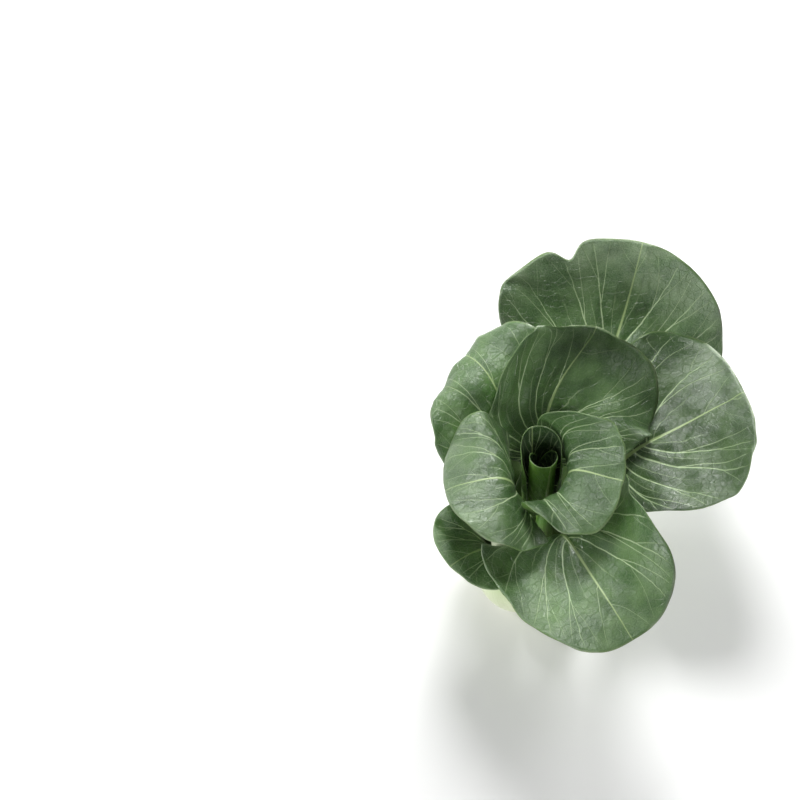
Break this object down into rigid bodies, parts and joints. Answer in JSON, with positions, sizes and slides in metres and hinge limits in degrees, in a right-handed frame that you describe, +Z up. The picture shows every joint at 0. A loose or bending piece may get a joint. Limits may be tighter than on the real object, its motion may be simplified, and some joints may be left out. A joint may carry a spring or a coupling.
{
  "type": "bok choy",
  "caption": "Head of bok choy standing on its cut base: broad pale fleshy stalks in a spiral, each spreading into a dark green blade round a rolled heart.",
  "frame": {"origin": "centre of the flat cut face at the base of the head", "axes": "+Z up along the head from the cut face, -Y towards the viewer of the picture, +X to the viewer's right"},
  "size_m": [0.1964, 0.2733, 0.188],
  "materials": {
    "stem": "satin",
    "stalk": "satin",
    "blade": "satin",
    "young_blade": "satin"
  },
  "bodies": {
    "root": {"stem": "stem", "stalk_01": "stalk", "blade_01": "young_blade", "stalk_02": "stalk", "blade_02": "young_blade", "stalk_03": "stalk", "blade_03": "blade", "stalk_04": "stalk", "blade_04": "blade", "stalk_05": "stalk", "blade_05": "blade", "stalk_06": "stalk", "blade_06": "blade", "stalk_07": "stalk", "blade_07": "blade", "stalk_08": "stalk", "blade_08": "blade", "stalk_09": "stalk", "blade_09": "blade", "stalk_10": "stalk", "blade_10": "blade", "stalk_11": "stalk", "blade_11": "blade", "stalk_12": "stalk", "blade_12": "blade"}
  },
  "joints": []
}
